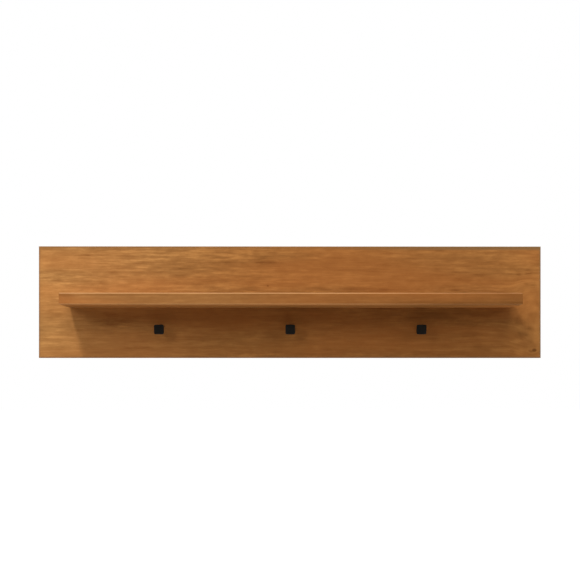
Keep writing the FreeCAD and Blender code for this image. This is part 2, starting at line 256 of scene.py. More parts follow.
def part_round_knot(tree, point, place, reach, spread):
    """The grain's own point, moved so that the fibres part round a knot in the board's face, and
    how far the point lies from the knot, where its reach counts as 1."""
    offset = vectors(tree, "SUBTRACT", point, (place[0], 0.0, place[1]))
    away = length_of(tree, vectors(tree, "MULTIPLY", offset, (1.0 / reach[0], 0.0, 1.0 / reach[1])))
    pull = maths(tree, "MULTIPLY", ramp(tree, away, 0.0, PARTING_REACH, 1.0, 0.0), -spread)
    feeds = {0: vectors(tree, "MULTIPLY", offset, (0.0, 0.0, 1.0)), "Scale": pull}
    shift = add(tree, "ShaderNodeVectorMath", feeds, operation="SCALE").outputs[0]
    return vectors(tree, "ADD", point, shift), away


def board_material(
    name,
    node,
    pith,
    growth,
    calm,
    pale_end_and_light,
    edge,
    top_stain=(0.0, 0.0),
    underside_light=0.0,
    knots=(),
    fray=0.0,
    marks=(),
):
    """Stained and oiled wood for one board, cut from its tree with the pith at a place of its own.

    growth holds the grain's own values, and calm is its contrast low on the board.
    pale_end_and_light says where along X the wood starts to turn paler, where it is palest and with
    what tint: partly the stain thinning and partly painted light and painted sheen from the left.
    underside_light is how much of that paleness is put on the underside, as painted light from
    below. edge is the colour, kind, width, and left and right strength of what shows along the
    edges: gathered stain, or wear with a painted highlight. top_stain holds the same two strengths
    for the stain gathered at the top. A knot has its place and reach in X and Z in metres, how far
    the fibres part, the size of its core and the strength of its swirl. A mark has its place and
    reach in X and Z in millimetres and its strength, above 0 where it is pale. fray is how ragged
    the marks' edges are.
    """
    material, tree, shader, point = new_material(name)
    low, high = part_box(node)
    feeds = {"Point": point, "Middle": (low + high) / 2, "Half Size": (high - low) / 2}
    faces = add(tree, "ShaderNodeGroup", feeds, node_tree=BOARD_FACES).outputs
    along, _, up = add(tree, "ShaderNodeSeparateXYZ", {0: point}).outputs

    contrast = ramp(tree, up, CALM_UP_TO, FULL_FROM, calm, growth["Contrast"])
    bent, cores, figure = point, [], 0.0
    for place, reach, spread, core, swirl in knots:
        bent, away = part_round_knot(tree, bent, place, reach, spread)
        cores.append(ramp(tree, away, core, core * 0.55))
        near = ramp(tree, away, SWIRL_REACH, SWIRL_REACH / 3)
        weaker = maths(tree, "MULTIPLY_ADD", near, -0.5 * swirl, 1.0)
        contrast = maths(tree, "MULTIPLY", contrast, weaker)
        curl = maths(tree, "MULTIPLY", waver(tree, bent, (55.0, 55.0, 80.0), 7.0, 3.0), near)
        figure = maths(tree, "MULTIPLY_ADD", curl, swirl, figure)
    ragged = maths(tree, "MULTIPLY", waver(tree, bent, (50.0, 50.0, 330.0), 3.0), fray)
    for x, z, wide, tall, strength in marks:
        feeds = {
            "Point": point,
            "Place": (x * MM, low.y, z * MM),
            "Reach": (wide * MM, MARK_DEPTH, tall * MM),
            "Fray": ragged,
            "Strength": strength,
        }
        mark = add(tree, "ShaderNodeGroup", feeds, node_tree=GRAIN_MARK).outputs[0]
        figure = maths(tree, "ADD", figure, mark)

    feeds = {"Vector": bent, "Location": -Vector(pith)}
    from_pith = add(tree, "ShaderNodeMapping", feeds).outputs[0]
    feeds = {**growth, "Point": from_pith, "Contrast": contrast}
    grain = add(tree, "ShaderNodeGroup", feeds, node_tree=TIMBER_GRAIN).outputs
    end_rings = maths(tree, "MULTIPLY_ADD", grain["Rings"], 0.5, 0.12)
    end_rings = maths(tree, "MULTIPLY", faces["End"], end_rings)
    tone = maths(tree, "SUBTRACT", maths(tree, "ADD", grain["Tone"], figure), end_rings)
    colour = blend(tree, tone, STAIN_DARK, STAIN_LIGHT)
    colour = blend(tree, maths(tree, "MULTIPLY", grain["Redness"], 0.5), colour, STAIN_RED)

    # Painted light: towards the left end the wood turns paler and whiter. This is partly the
    # stain's own tone and partly painted light and sheen from the left. On the underside the same
    # paleness stands for painted light from below.
    pale_from, pale_to, pale_and_light_tint = pale_end_and_light
    under = maths(tree, "MULTIPLY", faces["Underside"], underside_light)
    pale = maths(tree, "MAXIMUM", ramp(tree, along, pale_from, pale_to), under)
    colour = vectors(tree, "MULTIPLY", colour, blend(tree, pale, WHITE, pale_and_light_tint))
    # Along the edges: on the panel, stain gathered there. On the shelf, wear and a painted
    # highlight on its rounded long edges, strongest at the left where the light comes from.
    edge_colour, edge_kind, edge_width, edge_left, edge_right = edge
    edge_share = ramp(tree, along, LEFT_UP_TO, RIGHT_FROM, edge_left, edge_right)
    at_edge = maths(tree, "MULTIPLY", ramp(tree, faces[edge_kind], edge_width, 0.0), edge_share)
    colour = blend(tree, at_edge, colour, edge_colour)
    top_share = ramp(tree, along, LEFT_UP_TO, RIGHT_FROM, *top_stain)
    at_top = ramp(tree, faces["From Top"], TOP_STAIN_DEPTH, TOP_STAIN_DEPTH / 2)
    colour = blend(tree, maths(tree, "MULTIPLY", at_top, top_share), colour, STAIN_GATHERED)
    colour = blend(tree, maths(tree, "MULTIPLY", grain["Pores"], 0.5), colour, STAIN_DARK)
    for core in cores:
        colour = blend(tree, maths(tree, "MULTIPLY", core, 0.8), colour, STAIN_DARK)

    bare = blend(tree, tone, STAIN_LIGHT, BARE_WOOD)
    colour = blend(tree, maths(tree, "MULTIPLY", faces["Back Face"], 0.45), colour, bare)
    dull_back = maths(tree, "MULTIPLY", faces["Back Face"], 0.6)
    dull = maths(tree, "MAXIMUM", faces["Cut Open"], dull_back)
    oiled = maths(tree, "MULTIPLY_ADD", grain["Tone"], -0.12, 0.56)
    feed(tree, shader.inputs, {
        "Base Color": blend(tree, faces["Cut Open"], colour, bare),
        "Roughness": maths(tree, "MULTIPLY_ADD", dull, 0.3, oiled),
        "Specular IOR Level": 0.04,
        "Normal": relief(tree, grain["Height"], 0.35, 0.0002),
    })
    return material


def finish(node, material):
    """Give a CAD node its real finish."""
    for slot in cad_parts[node].material_slots:
        slot.material = material


# The pith lies in front of the board's face and above its middle. The grain parts round a knot at
# the lower right corner and swirls at the right end. The marks are pale and dark streaks, a small
# dark knot near the middle, and one dark patch under the left of the shelf that is painted shadow,
# deepening the shelf's shadow there.
finish("back_panel", board_material(
    "panel wood",
    "back_panel",
    pith=(0.0, 0.055, -0.020),
    growth={
        "Ring Width": 0.009,
        "Wander": 0.035,
        "Contrast": 1.45,
        "Lightness": 0.51,
        "Seed": 17.0,
    },
    calm=1.1,
    # Paler and whiter towards the left: partly the stain's own tone, partly painted light and sheen
    # from the left.
    pale_end_and_light=(-0.06, -0.37, (1.32, 1.49, 1.72, 1.0)),
    edge=(STAIN_GATHERED, "To Edge", 0.0055, 0.5, 0.8),
    top_stain=(0.15, 0.85),
    knots=(
        ((0.4385, -0.086), (0.012, 0.009), 0.85, 0.42, 0.0),
        ((0.436, -0.030), (0.036, 0.060), 0.6, 0.0, 1.2),
    ),
    fray=1.6,
    marks=(
        (-420, 40, 17, 3.0, -0.22),
        (-375, 84, 48, 2.4, -0.18),
        (-437, 88, 18, 6.0, 0.28),
        (-285, 91, 64, 3.2, 0.42),
        (-440, 77, 16, 3.0, 0.16),
        (-400, 70, 22, 3.0, -0.14),
        (-350, 63, 14, 9.0, 0.10),
        (-283, 57, 60, 3.2, 0.36),
        (-415, 29, 15, 3.6, 0.17),
        (-392, 35, 16, 1.8, 0.18),
        (-347, 30, 14, 3.4, 0.15),
        (-268, 27, 30, 7.0, 0.22),
        (-338, 19, 16, 3.4, -0.14),
        (-422, 3, 16, 5.0, -0.22),
        (-415, -63, 36, 3.4, 0.30),
        (-338, -63, 26, 3.2, 0.26),
        (-415, -50, 14, 5.0, 0.12),
        (-422, -23, 18, 15.0, -0.22),
        # Painted shadow: this dark patch deepens the shelf's shadow under its left part.
        (-310, -30, 46, 14.0, -0.30),
        (-270, -82, 26, 4.0, -0.42),
        (-30, 71, 36, 4.5, -0.14),
        (-60, 56, 18, 2.6, 0.17),
        (-55, 32, 14, 2.6, 0.15),
        (-40, 29, 2.6, 2.2, -0.45),
        (-75, -95, 24, 3.0, 0.18),
        (411, 50, 6, 2.8, -0.28),
        (405, 80, 45, 9.0, 0.22),
        (418, 69, 28, 6.0, 0.10),
        (428, 53, 8, 8.0, -0.22),
        (430, 38.5, 17, 2.4, 0.25),
        (424, 32.5, 6, 1.8, -0.26),
        (437, 30.5, 8, 1.8, -0.22),
        (446, 32, 7, 13.0, 0.18),
        (431, -11, 20, 9.0, 0.34),
        (411, -32, 9, 12.0, -0.24),
        (416, -58, 13, 7.0, -0.18),
        (407, -70, 12, 5.0, 0.38),
        (430, -46, 9, 4.0, -0.14),
        (437, -60, 9, 7.0, -0.08),
        (431, -76, 7, 4.0, 0.16),
        (412, -89, 11, 7.0, 0.25),
        (432, -88, 5, 2.6, -0.30),
        (376, -86, 22, 6.0, 0.32),
    ),
))


# Shelf board: a narrower board of the same wood, planed and its long edges rounded over, butted
# against the panel's front and held by dowels, glue and screws.
finish("shelf_board", board_material(
    "shelf wood",
    "shelf_board",
    pith=(0.0, -0.080, 0.090),
    growth={
        "Ring Width": 0.006,
        "Wander": 0.02,
        "Contrast": 0.45,
        "Lightness": 0.22,
        "Seed": 11.0,
    },
    calm=0.45,
    # Painted light: paler and whiter towards the left, where the light falls, with some of the
    # stain's own tone.
    pale_end_and_light=(0.50, -0.42, (1.46, 1.58, 1.84, 1.0)),
    # Wear and a painted highlight along the rounded long edges, strongest at the left.
    edge=(WEAR_AND_HIGHLIGHT, "To Long Edge", 0.0022, 0.85, 0.25),
    # Painted light from below: the shelf's underside is painted paler.
    underside_light=1.0,
    fray=0.3,
    marks=(
        (-392, 0, 26, 40.0, -0.15),
        (-170, 0, 90, 40.0, 0.06),
        (60, 0, 120, 40.0, -0.10),
        (250, 0, 110, 40.0, -0.12),
        (380, 0, 40, 40.0, -0.07),
    ),
))


# Dowels: two fluted beech pins with chamfered ends, glued half into the panel and half into the
# rear edge of the shelf, that keep the shelf in line while its screws are driven.
WELD_DISTANCE = 0.002 * MM
SHARP_ANGLE = math.radians(38)


def cut_cross_recess(tree, taken, body):
    """The body with a cross cut down into its top by two crossed wedges. A wedge is a square cone
    turned flat and made thin."""
    width = maths(tree, "MULTIPLY", taken["Recess Reach"], math.sqrt(2.0))
    feeds = {
        "Vertices": 4,
        "Radius Top": width,
        "Radius Bottom": maths(tree, "MULTIPLY", width, 0.45),
        "Depth": maths(tree, "MULTIPLY", taken["Recess Depth"], 1.2),
    }
    cone = add(tree, "GeometryNodeMeshCone", feeds).outputs["Mesh"]
    feeds = {"Geometry": cone, "Rotation": (0.0, 0.0, math.pi / 4)}
    wedge = add(tree, "GeometryNodeTransform", feeds).outputs[0]
    thin = maths(tree, "DIVIDE", taken["Recess Half Width"], taken["Recess Reach"])
    bottom = maths(tree, "SUBTRACT", taken["Recess Top"], taken["Recess Depth"])
    feeds = {
        "Geometry": wedge,
        "Scale": add(tree, "ShaderNodeCombineXYZ", {"X": 1.0, "Y": thin, "Z": 1.0}).outputs[0],
        "Translation": add(tree, "ShaderNodeCombineXYZ", {"Z": bottom}).outputs[0],
    }
    settings = {"operation": "DIFFERENCE", "solver": "MANIFOLD"}
    cutting = add(tree, "GeometryNodeMeshBoolean", {"Mesh 1": body}, **settings)
    for rotation in (0.0, math.pi / 2):
        blade = add(tree, "GeometryNodeTransform", {**feeds, "Rotation": (0.0, 0.0, rotation)})
        tree.links.new(blade.outputs[0], cutting.inputs["Mesh 2"])
    feeds = {"Geometry": cutting.outputs["Mesh"], "Distance": WELD_DISTANCE}
    return add(tree, "GeometryNodeMergeByDistance", feeds).outputs[0]


def build_turned_piece():
    """A piece turned from rod. Each point of the outline, radius in X and height in Z, becomes one
    ring, and the point's thread value is how far ridges stand out there (or grooves go in)."""
    tree = bpy.data.node_groups.new("Turned and threaded", "GeometryNodeTree")
    tree.interface.new_socket("Piece", in_out="OUTPUT", socket_type="NodeSocketGeometry")
    tree.interface.new_socket("Outline", in_out="INPUT", socket_type="NodeSocketGeometry")
    tree.interface.new_socket("Material", in_out="INPUT", socket_type="NodeSocketMaterial")
    for label, kind, usual in (
        ("Place", "Vector", (0.0, 0.0, 0.0)),
        ("Rings", "Int", 2),
        ("Columns", "Int", 32),
        ("Ridges", "Int", 1),
        ("Turns Per Metre", "Float", 0.0),
        ("Ridge Share", "Float", 1.0),
        ("Cross Recess", "Bool", False),
        ("Recess Top", "Float", 0.0),
        ("Recess Depth", "Float", 0.001),
        ("Recess Reach", "Float", 0.001),
        ("Recess Half Width", "Float", 0.001),
    ):
        socket = tree.interface.new_socket(label, in_out="INPUT", socket_type="NodeSocket" + kind)
        socket.default_value = usual
    taken = add(tree, "NodeGroupInput").outputs

    # A flat grid has a row of points to each ring, with one point more than a ring's columns, which
    # closes the ring.
    around = maths(tree, "ADD", taken["Columns"], 1)
    feeds = {"Vertices X": taken["Rings"], "Vertices Y": around}
    grid = add(tree, "GeometryNodeMeshGrid", feeds).outputs
    feeds = {0: add(tree, "GeometryNodeInputIndex").outputs[0], 1: around}
    ring = add(tree, "FunctionNodeIntegerMath", feeds, operation="DIVIDE_FLOOR").outputs[0]
    column = add(tree, "FunctionNodeIntegerMath", feeds, operation="MODULO").outputs[0]

    # Each ring takes its radius, height and thread from its point of the outline.
    place = add(tree, "GeometryNodeInputPosition").outputs[0]
    feeds = {"Geometry": taken["Outline"], "Value": place, "Index": ring}
    spot = add(tree, "GeometryNodeSampleIndex", feeds, data_type="FLOAT_VECTOR").outputs[0]
    feeds = {"Name": "thread"}
    stands = add(tree, "GeometryNodeInputNamedAttribute", feeds, data_type="FLOAT").outputs[0]
    feeds = {"Geometry": taken["Outline"], "Value": stands, "Index": ring}
    thread = add(tree, "GeometryNodeSampleIndex", feeds, data_type="FLOAT").outputs[0]
    radius, _, height = add(tree, "ShaderNodeSeparateXYZ", {0: spot}).outputs
    turn = maths(tree, "DIVIDE", column, taken["Columns"])
    climb = maths(tree, "MULTIPLY", height, taken["Turns Per Metre"])
    wound = maths(tree, "MULTIPLY", turn, taken["Ridges"])
    phase = maths(tree, "FRACT", maths(tree, "SUBTRACT", climb, wound))
    from_crest = maths(tree, "ABSOLUTE", maths(tree, "MULTIPLY_ADD", phase, 2.0, -1.0))
    ridge = ramp(tree, from_crest, 0.0, taken["Ridge Share"], 1.0, 0.0)
    radius = maths(tree, "MULTIPLY_ADD", thread, ridge, radius)

    # The grid is rolled up round Z, and its seam and its tips are welded.
    angle = maths(tree, "MULTIPLY", turn, 2.0 * math.pi)
    feeds = {
        "X": maths(tree, "MULTIPLY", radius, maths(tree, "COSINE", angle)),
        "Y": maths(tree, "MULTIPLY", radius, maths(tree, "SINE", angle)),
        "Z": height,
    }
    rolled = add(tree, "ShaderNodeCombineXYZ", feeds).outputs[0]
    feeds = {"Geometry": grid["Mesh"], "Position": rolled}
    shaped = add(tree, "GeometryNodeSetPosition", feeds).outputs[0]
    feeds = {"Geometry": shaped, "Distance": WELD_DISTANCE}
    welded = add(tree, "GeometryNodeMergeByDistance", feeds).outputs[0]
    closed = add(tree, "GeometryNodeFlipFaces", {0: welded}).outputs[0]
    cut = cut_cross_recess(tree, taken, closed)
    feeds = {"Switch": taken["Cross Recess"], "False": closed, "True": cut}
    whole = add(tree, "GeometryNodeSwitch", feeds, input_type="GEOMETRY").outputs[0]

    # Its faces are shaded smooth up to the sharp edges.
    feeds = {"Geometry": whole, "Shade Smooth": True}
    smooth = add(tree, "GeometryNodeSetShadeSmooth", feeds, domain="FACE").outputs[0]
    bend = add(tree, "GeometryNodeInputMeshEdgeAngle").outputs["Unsigned Angle"]
    feeds = {0: bend, 1: SHARP_ANGLE}
    sharp = add(tree, "FunctionNodeCompare", feeds, operation="GREATER_THAN").outputs[0]
    feeds = {"Geometry": smooth, "Selection": sharp, "Shade Smooth": False}
    shaded = add(tree, "GeometryNodeSetShadeSmooth", feeds, domain="EDGE").outputs[0]

    # The axis is laid along Y, with the top of the piece towards the wall.
    laid_down = (-math.pi / 2, 0.0, 0.0)
    feeds = {"Geometry": shaded, "Translation": taken["Place"], "Rotation": laid_down}
    laid = add(tree, "GeometryNodeTransform", feeds).outputs[0]
    real = add(tree, "GeometryNodeRealizeInstances", {"Geometry": laid}).outputs[0]
    feeds = {"Geometry": real, "Material": taken["Material"]}
    dressed = add(tree, "GeometryNodeSetMaterial", feeds).outputs[0]
    tree.links.new(dressed, add(tree, "NodeGroupOutput").inputs[0])
    return tree


TURNED_PIECE = build_turned_piece()


def stretch(step, *corners):
    """Outline points, each a radius, height and thread, along the lines from corner to corner, at
    most a step apart in height, without the last corner."""
    points = []
    for first, last in zip(corners, corners[1:]):
        count = max(1, math.ceil(abs(last[1] - first[1]) / step))
        for i in range(count):
            points.append(tuple(a + (b - a) * i / count for a, b in zip(first, last)))
    return points


def turned(node, slot, outline, place, material, **sizes):
    """One turned piece in place of a CAD node. The outline runs up from the tip, in millimetres."""
    chain = bpy.data.meshes.new(node + " outline")
    points = [(radius * MM, 0.0, height * MM) for radius, height, _ in outline]
    chain.from_pydata(points, [(i, i + 1) for i in range(len(points) - 1)], [])
    stands = chain.attributes.new("thread", "FLOAT", "POINT")
    stands.data.foreach_set("value", [thread * MM for _, _, thread in outline])
    piece = bpy.data.objects.new(node + "_turned", chain)
    bpy.context.scene.collection.objects.link(piece)
    modifier = piece.modifiers.new("turning", "NODES")
    modifier.node_group = TURNED_PIECE
    settings = {"Material": material, "Place": place, "Rings": len(points), **sizes}
    for item in TURNED_PIECE.interface.items_tree:
        if item.name in settings:
            modifier[item.identifier] = settings[item.name]
    evaluated = piece.evaluated_get(bpy.context.evaluated_depsgraph_get())
    made = bpy.data.meshes.new_from_object(evaluated)
    piece.modifiers.clear()
    piece.data = made
    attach(piece, "root")
    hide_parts(node)


BEECH_DARK = (0.430, 0.250, 0.120, 1.0)
BEECH_LIGHT = (0.760, 0.560, 0.340, 1.0)
BEECH_FLECK = (0.330, 0.170, 0.080, 1.0)


def dowel_material():
    """Beech: pale, with its grain along the pin and short dark flecks."""
    material, tree, shader, point = new_material("beech")
    feeds = {"Vector": point, "Location": (0.0, 0.010, 0.012), "Rotation": (0.0, 0.0, math.pi / 2)}
    along_pin = add(tree, "ShaderNodeMapping", feeds).outputs[0]
    feeds = {
        "Point": along_pin,
        "Ring Width": 0.003,
        "Wander": 0.004,
        "Contrast": 0.8,
        "Seed": 21.0,
    }
    grain = add(tree, "ShaderNodeGroup", feeds, node_tree=TIMBER_GRAIN).outputs
    colour = blend(tree, grain["Tone"], BEECH_DARK, BEECH_LIGHT)
    flecks = mottle(tree, along_pin, (700.0, 4000.0, 4000.0), 5.0, 1.0)
    flecks = maths(tree, "MULTIPLY", ramp(tree, flecks, 0.6, 0.68), 0.35)
    feed(tree, shader.inputs, {
        "Base Color": blend(tree, flecks, colour, BEECH_FLECK),
        "Roughness": maths(tree, "MULTIPLY_ADD", grain["Tone"], -0.15, 0.78),
        "Specular IOR Level": 0.2,
        "Normal": relief(tree, grain["Height"], 0.4, 0.0001),
    })
    return material


DOWEL_X = 0.1725
DOWEL_OUTER_Y = -0.038
DOWEL_LENGTH = 30.0
DOWEL_RADIUS = 4.0
CHAMFER = 0.8
FLUTE = -0.4
FLUTE_STEP = 2.0

# One end of a dowel from its middle outwards, and then the whole outline, in millimetres.
DOWEL_END = [
    (0.0, 0.0, 0.0),
    (1.6, 0.0, 0.0),
    (DOWEL_RADIUS - CHAMFER, 0.0, 0.0),
    (DOWEL_RADIUS - 0.15, CHAMFER - 0.2, FLUTE * 0.6),
    (DOWEL_RADIUS, CHAMFER, FLUTE),
]
DOWEL_OUTLINE = [
    *DOWEL_END,
    *stretch(
        FLUTE_STEP,
        (DOWEL_RADIUS, CHAMFER + 0.4, FLUTE),
        (DOWEL_RADIUS, DOWEL_LENGTH - CHAMFER, FLUTE),
    ),
    *[(radius, DOWEL_LENGTH - height, flute) for radius, height, flute in reversed(DOWEL_END)],
]
beech = dowel_material()
for side, x in (("left", -DOWEL_X), ("right", DOWEL_X)):
    sizes = {"Columns": 120, "Ridges": 12, "Ridge Share": 0.62}
    turned(side + "_dowel", "dowel_wood", DOWEL_OUTLINE, (x, DOWEL_OUTER_Y, 0.0), beech, **sizes)


# Shelf screws: three zinc-plated steel wood screws, driven from behind through the panel into the
# shelf's rear edge. Their flat round heads sit in counterbores, clear of the wall.
ZINC_DARK = (0.470, 0.480, 0.490, 1.0)
ZINC_LIGHT = (0.700, 0.705, 0.700, 1.0)
ZINC_YELLOW = (0.620, 0.570, 0.440, 1.0)


def build_zinc_finish():
    """Bright zinc plating: faint spangles and smears, with fine rub marks from handling."""
    inputs = {"Point": (0.0, 0.0, 0.0), "Seed": 0.0}
    outputs = ("Shade", "Yellowness", "Roughness", "Height")
    tree, taken, given = effect("Zinc finish", inputs, outputs)
    point, seed = taken["Point"], taken["Seed"]
    spangle = mottle(tree, point, (900.0, 900.0, 900.0), seed, 1.0)
    smears = mottle(tree, point, (90.0, 90.0, 260.0), seed, 3.0)
    rubs = mottle(tree, point, (5200.0, 700.0, 700.0), seed)
    shade = maths(tree, "MULTIPLY_ADD", maths(tree, "SUBTRACT", spangle, 0.5), 0.5, smears)
    rough = maths(tree, "MULTIPLY_ADD", smears, 0.22, maths(tree, "MULTIPLY", rubs, 0.12))
    feed(tree, given, {
        "Shade": ramp(tree, shade, 0.25, 0.75),
        "Yellowness": ramp(tree, mottle(tree, point, (45.0, 45.0, 45.0), seed), 0.45, 0.72),
        "Roughness": maths(tree, "ADD", rough, 0.18),
        "Height": maths(tree, "MULTIPLY_ADD", spangle, 0.4, rubs),
    })
    return tree


ZINC_FINISH = build_zinc_finish()


def zinc_material(name, seed):
    """Zinc-plated steel. Each kind of part has its own seed, so that no two are marked alike."""
    material, tree, shader, point = new_material(name)
    feeds = {"Point": point, "Seed": seed}
    plating = add(tree, "ShaderNodeGroup", feeds, node_tree=ZINC_FINISH).outputs
    colour = blend(tree, plating["Shade"], ZINC_DARK, ZINC_LIGHT)
    yellow = maths(tree, "MULTIPLY", plating["Yellowness"], 0.35)
    feed(tree, shader.inputs, {
        "Base Color": blend(tree, yellow, colour, ZINC_YELLOW),
        "Roughness": plating["Roughness"],
        "Metallic": 1.0,
        "Normal": relief(tree, plating["Height"], 0.25, 0.00004),
    })
    return material


def round_head(radius, height):
    """The outline of a flat-bottomed round head, from its seat to the middle of its low dome."""
    sides = ((0.94, 0.0), (0.99, 0.05), (1.0, 0.14), (1.0, 0.36), (0.98, 0.5), (0.93, 0.64))
    dome = ((0.84, 0.77), (0.70, 0.87), (0.52, 0.94), (0.28, 0.985), (0.0, 1.0))
    return [(radius * out, height * up, 0.0) for out, up in sides + dome]


def screw(node, outline, head, place, material, columns, pitch, ridge_share):
    """One screw in place of a CAD node, with the seat of its head at place. Head is the radius and
    height of the head, which has a cross recess to fit. The thread climbs by pitch in one turn, and
    its ridge takes up a share of that."""
    radius, height = head
    sizes = {
        "Columns": columns,
        "Turns Per Metre": 1.0 / (pitch * MM),
        "Ridge Share": ridge_share,
        "Cross Recess": True,
        "Recess Top": height * MM,
        "Recess Depth": 0.6 * height * MM,
        "Recess Reach": 0.58 * radius * MM,
        "Recess Half Width": 0.15 * radius * MM,
    }
    turned(node, "zinc_steel", outline + round_head(radius, height), place, material, **sizes)


def shelf_screw_outline():
    """From the tip up the thread, its run-out and the plain shank to the fillet under the head,
    whose seat is at height 0."""
    length, taper, thread_top, run_out, fillet = 45.0, 4.0, 17.0, 1.4, 0.7
    core, crest, shank = 1.55, 2.45, 1.90
    ridge = crest - core
    thread_step, shank_step = 0.11, 3.0
    return [
        *stretch(
            thread_step,
            (0.0, -length, 0.0),
            (core, -length + taper, ridge),
            (core, -thread_top, ridge),
            (shank, -thread_top + run_out, 0.0),
        ),
        *stretch(shank_step, (shank, -thread_top + run_out, 0.0), (shank, -fillet, 0.0)),
        (shank, -fillet, 0.0),
        (shank + 0.1, -0.3, 0.0),
        (shank + 0.5, 0.0, 0.0),
    ]


SHELF_SCREW_X = 0.345
COUNTERBORE_SEAT_Y = -0.005

plated_screw = zinc_material("zinc-plated shelf screw", 2.0)
for side, x in (("left", -SHELF_SCREW_X), ("centre", 0.0), ("right", SHELF_SCREW_X)):
    screw(
        side + "_shelf_screw",
        shelf_screw_outline(),
        head=(5.0, 2.5),
        place=(x, COUNTERBORE_SEAT_Y, 0.0),
        material=plated_screw,
        columns=40,
        pitch=2.2,
        ridge_share=0.5,
    )


# Knobs: three square-headed pegs, each cast in one piece with its round neck and powder-coated a
# matt black. The coat is thinner along the edges of the head.
KNOB_SPACING = 0.232
KNOB_Z = -0.050
PANEL_FRONT_Y = -0.020

# Height from the panel, half width, corner radius and bareness of the coat, in millimetres, from
# the end of the tapped hole round the foot and along the neck to the face. A corner as large as
# the half width makes a round ring.
KNOB_RINGS = (
    (12.0, 2.05, 2.05, 0.0),
    (0.4, 2.05, 2.05, 0.0),
    (0.0, 2.4, 2.4, 0.3),
    (0.0, 5.1, 5.1, 0.2),
    (0.12, 5.38, 5.38, 0.5),
    (0.4, 5.5, 5.5, 0.1),
    (6.0, 5.5, 5.5, 0.0),
    (12.0, 5.5, 5.5, 0.0),
    (18.0, 5.5, 5.5, 0.0),
    (23.2, 5.5, 5.5, 0.0),
    (24.0, 5.62, 5.62, 0.0),
    (24.6, 5.95, 5.95, 0.0),
    (24.93, 6.4, 6.4, 0.0),
    (25.0, 6.9, 6.6, 0.0),
    (25.0, 7.6, 2.6, 0.1),
    (25.06, 7.95, 2.4, 0.5),
    (25.25, 8.28, 2.4, 1.0),
    (25.6, 8.46, 2.5, 0.5),
    (26.0, 8.5, 2.5, 0.1),
    (28.4, 8.5, 2.5, 0.0),
    (30.8, 8.5, 2.5, 0.1),
    (31.15, 8.45, 2.5, 0.4),
    (31.5, 8.29, 2.4, 0.9),
    (31.76, 8.03, 2.3, 1.0),
    (31.9, 7.7, 2.2, 0.6),
    (31.95, 7.3, 2.1, 0.2),
    (31.97, 5.4, 1.9, 0.0),
    (31.99, 2.7, 1.2, 0.0),
)
CORNER_STEPS = 12

# How far from the panel the tip of the tapped hole and the middle of the knob's face lie.
HOLE_TIP = 13.2
KNOB_FACE = 32.0

COAT_DARK = (0.0062, 0.0052, 0.0040, 1.0)
COAT_LIGHT = (0.0095, 0.0080, 0.0062, 1.0)
COAT_RUBBED = (0.020, 0.019, 0.017, 1.0)
COAT_DUST = (0.022, 0.020, 0.018, 1.0)


def rounded_ring(half, corner):
    """Points round a square with rounded corners, evenly turned through each corner."""
    points = []
    for quarter in range(4):
        for step in range(CORNER_STEPS):
            angle = (quarter + (step + 0.5) / CORNER_STEPS) * math.pi / 2
            middle = (quarter + 0.5) * math.pi / 2
            lean = (half - corner) * math.sqrt(2.0)
            x = lean * math.cos(middle) + corner * math.cos(angle)
            z = lean * math.sin(middle) + corner * math.sin(angle)
            points.append((x, z))
    return points


def black_coat_material():
    """Matt black powder coat, with the fine orange peel that it dries to and a little dust."""
    material, tree, shader, point = new_material("black powder coat")
    bareness = add(tree, "ShaderNodeAttribute", attribute_name="bareness").outputs["Fac"]
    peel = mottle(tree, point, (1100.0, 1100.0, 1100.0), 1.0)
    cloud = mottle(tree, point, (160.0, 160.0, 160.0), 4.0)
    dust = mottle(tree, point, (3800.0, 3800.0, 3800.0), 9.0, 1.0)
    dust = maths(tree, "MULTIPLY", ramp(tree, dust, 0.68, 0.76), 0.4)
    colour = blend(tree, ramp(tree, cloud, 0.3, 0.7), COAT_DARK, COAT_LIGHT)
    rubbed = maths(tree, "MULTIPLY", bareness, ramp(tree, cloud, 0.42, 0.62, 0.25, 0.9))
    colour = blend(tree, rubbed, colour, COAT_RUBBED)
    rough = maths(tree, "MULTIPLY_ADD", peel, 0.16, 0.50)
    feed(tree, shader.inputs, {
        "Base Color": blend(tree, dust, colour, COAT_DUST),
        "Roughness": maths(tree, "MULTIPLY_ADD", rubbed, -0.12, rough),
        "Specular IOR Level": 0.07,
        "Normal": relief(tree, peel, 0.35, 0.00008),
    })
    return material


def make_knob(node, x, material):
    """One knob, lofted ring by ring and closed at both ends."""
    shape = bmesh.new()
    bareness = shape.verts.layers.float.new("bareness")
    loops = []
    for height, half, corner, bare in KNOB_RINGS:
        loop = []
        for across, up in rounded_ring(half, corner):
            vert = shape.verts.new((x + across * MM, PANEL_FRONT_Y - height * MM, KNOB_Z + up * MM))
            vert[bareness] = bare
            loop.append(vert)
        loops.append(loop)
    for near, far in zip(loops, loops[1:]):
        for i, vert in enumerate(near):
            shape.faces.new((vert, near[i - 1], far[i - 1], far[i]))
    for loop, height in ((loops[0], HOLE_TIP), (loops[-1], KNOB_FACE)):
        tip = shape.verts.new((x, PANEL_FRONT_Y - height * MM, KNOB_Z))
        for i, vert in enumerate(loop):
            shape.faces.new((vert, loop[i - 1], tip))
    bmesh.ops.recalc_face_normals(shape, faces=shape.faces)
    for face in shape.faces:
        face.smooth = True
    for edge in shape.edges:
        edge.smooth = edge.calc_face_angle() < SHARP_ANGLE
    mesh = bpy.data.meshes.new(node + "_cast")
    shape.to_mesh(mesh)
    shape.free()
    mesh.materials.append(material)
    piece = bpy.data.objects.new(node + "_cast", mesh)
    bpy.context.scene.collection.objects.link(piece)
    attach(piece, "root")
    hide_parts(node)


black_coat = black_coat_material()
for node, x in (("left_knob", -KNOB_SPACING), ("centre_knob", 0.0), ("right_knob", KNOB_SPACING)):
    make_knob(node, x, black_coat)


